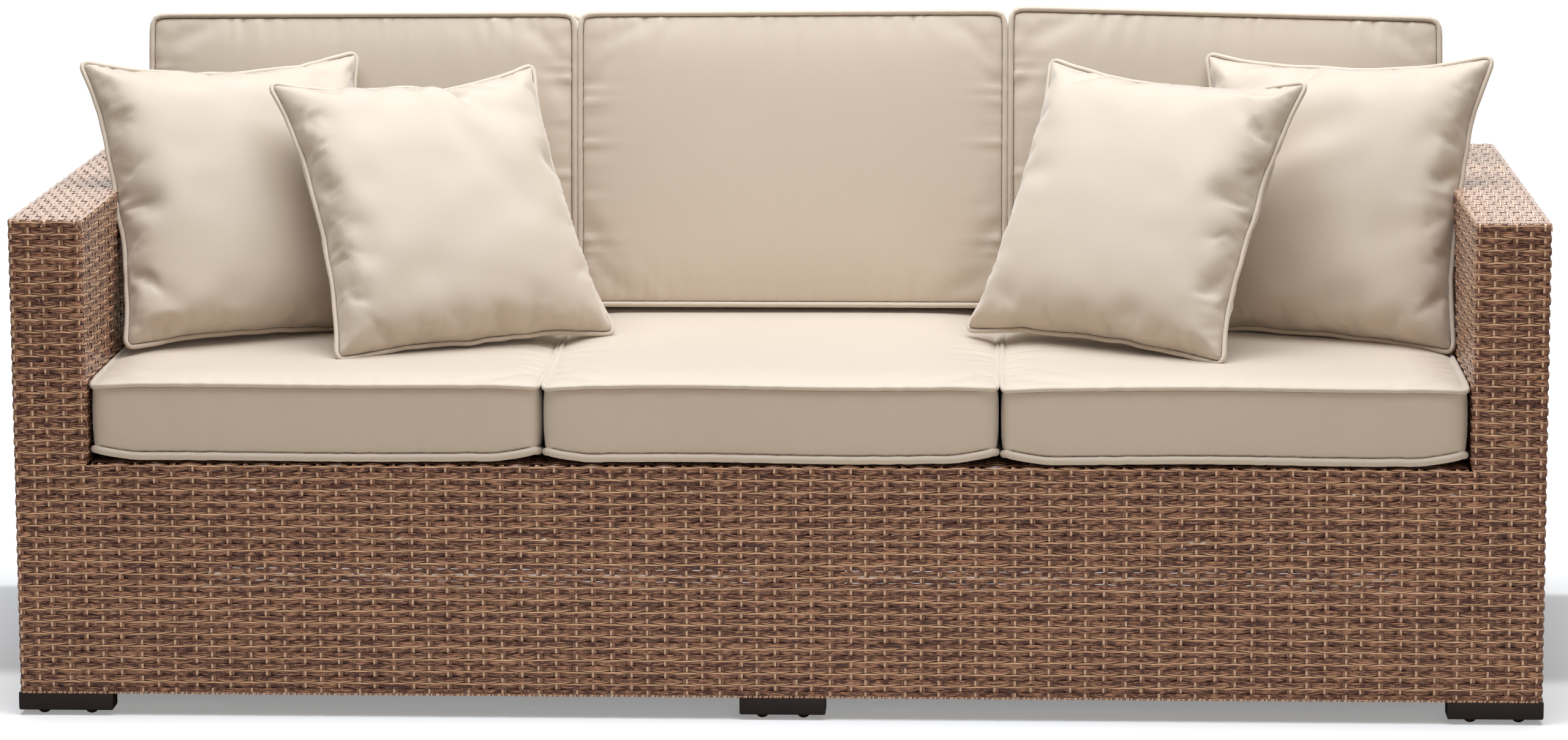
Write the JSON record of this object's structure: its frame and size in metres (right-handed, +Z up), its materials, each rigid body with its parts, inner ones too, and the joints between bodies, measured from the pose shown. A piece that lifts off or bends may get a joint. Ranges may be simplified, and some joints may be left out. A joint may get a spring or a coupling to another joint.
{
  "type": "garden sofa",
  "caption": "Box-form garden sofa with woven rattan arms, back and apron on low foot blocks, loose piped seat and back cushions and square pillows.",
  "frame": {"origin": "centre of the footprint, on the floor under the glides", "axes": "+Z up, +X along the sofa to the right as seen from the front, the front faces -Y"},
  "size_m": [2, 0.8, 0.8702],
  "materials": {
    "weave": "satin",
    "tube": "satin",
    "foot": "satin",
    "glide": "satin",
    "screw": "satin",
    "cushion": "matte",
    "pillow": "matte"
  },
  "bodies": {
    "sofa_frame": {"left_arm_frame": "tube", "right_arm_frame": "tube", "back_frame": "tube", "apron_frame": "tube", "seat_frame": "tube", "left_arm_weave": "weave", "right_arm_weave": "weave", "back_weave": "weave", "apron_weave": "weave", "seat_deck": "weave", "foot_front_left": "foot", "glide_front_left_1": "glide", "glide_front_left_2": "glide", "glide_front_left_3": "glide", "screw_front_left_1": "screw", "screw_front_left_2": "screw", "foot_rear_left": "foot", "glide_rear_left_1": "glide", "glide_rear_left_2": "glide", "glide_rear_left_3": "glide", "screw_rear_left_1": "screw", "screw_rear_left_2": "screw", "foot_front_right": "foot", "glide_front_right_1": "glide", "glide_front_right_2": "glide", "glide_front_right_3": "glide", "screw_front_right_1": "screw", "screw_front_right_2": "screw", "foot_rear_right": "foot", "glide_rear_right_1": "glide", "glide_rear_right_2": "glide", "glide_rear_right_3": "glide", "screw_rear_right_1": "screw", "screw_rear_right_2": "screw", "foot_front_middle": "foot", "glide_front_middle_1": "glide", "glide_front_middle_2": "glide", "screw_front_middle_1": "screw", "foot_rear_middle": "foot", "glide_rear_middle_1": "glide", "glide_rear_middle_2": "glide", "screw_rear_middle_1": "screw"},
    "seat_cushion_left": {"seat_cushion_left": "cushion"},
    "seat_cushion_middle": {"seat_cushion_middle": "cushion"},
    "seat_cushion_right": {"seat_cushion_right": "cushion"},
    "back_cushion_left": {"back_cushion_left": "cushion"},
    "back_cushion_middle": {"back_cushion_middle": "cushion"},
    "back_cushion_right": {"back_cushion_right": "cushion"},
    "pillow_left_outer": {"pillow_left_outer": "pillow"},
    "pillow_left_inner": {"pillow_left_inner": "pillow"},
    "pillow_right_outer": {"pillow_right_outer": "pillow"},
    "pillow_right_inner": {"pillow_right_inner": "pillow"}
  },
  "joints": [
    {"name": "seat_cushion_left_pull", "type": "slide", "parent": "sofa_frame", "child": "seat_cushion_left", "axis": [0, -1, 0], "range_m": [0, 0.75]},
    {"name": "seat_cushion_middle_pull", "type": "slide", "parent": "sofa_frame", "child": "seat_cushion_middle", "axis": [0, -1, 0], "range_m": [0, 0.75]},
    {"name": "seat_cushion_right_pull", "type": "slide", "parent": "sofa_frame", "child": "seat_cushion_right", "axis": [0, -1, 0], "range_m": [0, 0.75]},
    {"name": "back_cushion_left_lift", "type": "slide", "parent": "sofa_frame", "child": "back_cushion_left", "axis": [0, 0.0889, 0.996], "range_m": [0, 0.45]},
    {"name": "back_cushion_middle_lift", "type": "slide", "parent": "sofa_frame", "child": "back_cushion_middle", "axis": [0, 0.0889, 0.996], "range_m": [0, 0.45]},
    {"name": "back_cushion_right_lift", "type": "slide", "parent": "sofa_frame", "child": "back_cushion_right", "axis": [0, 0.0889, 0.996], "range_m": [0, 0.45]},
    {"name": "pillow_left_outer_lift", "type": "slide", "parent": "sofa_frame", "child": "pillow_left_outer", "axis": [0, 0, 1], "range_m": [0, 0.45]},
    {"name": "pillow_left_inner_lift", "type": "slide", "parent": "pillow_left_outer", "child": "pillow_left_inner", "axis": [0.256, -0.4295, 0.866], "range_m": [0, 0.45]},
    {"name": "pillow_right_outer_lift", "type": "slide", "parent": "sofa_frame", "child": "pillow_right_outer", "axis": [0, 0, 1], "range_m": [0, 0.45]},
    {"name": "pillow_right_inner_lift", "type": "slide", "parent": "pillow_right_outer", "child": "pillow_right_inner", "axis": [-0.2716, -0.4198, 0.866], "range_m": [0, 0.45]}
  ]
}
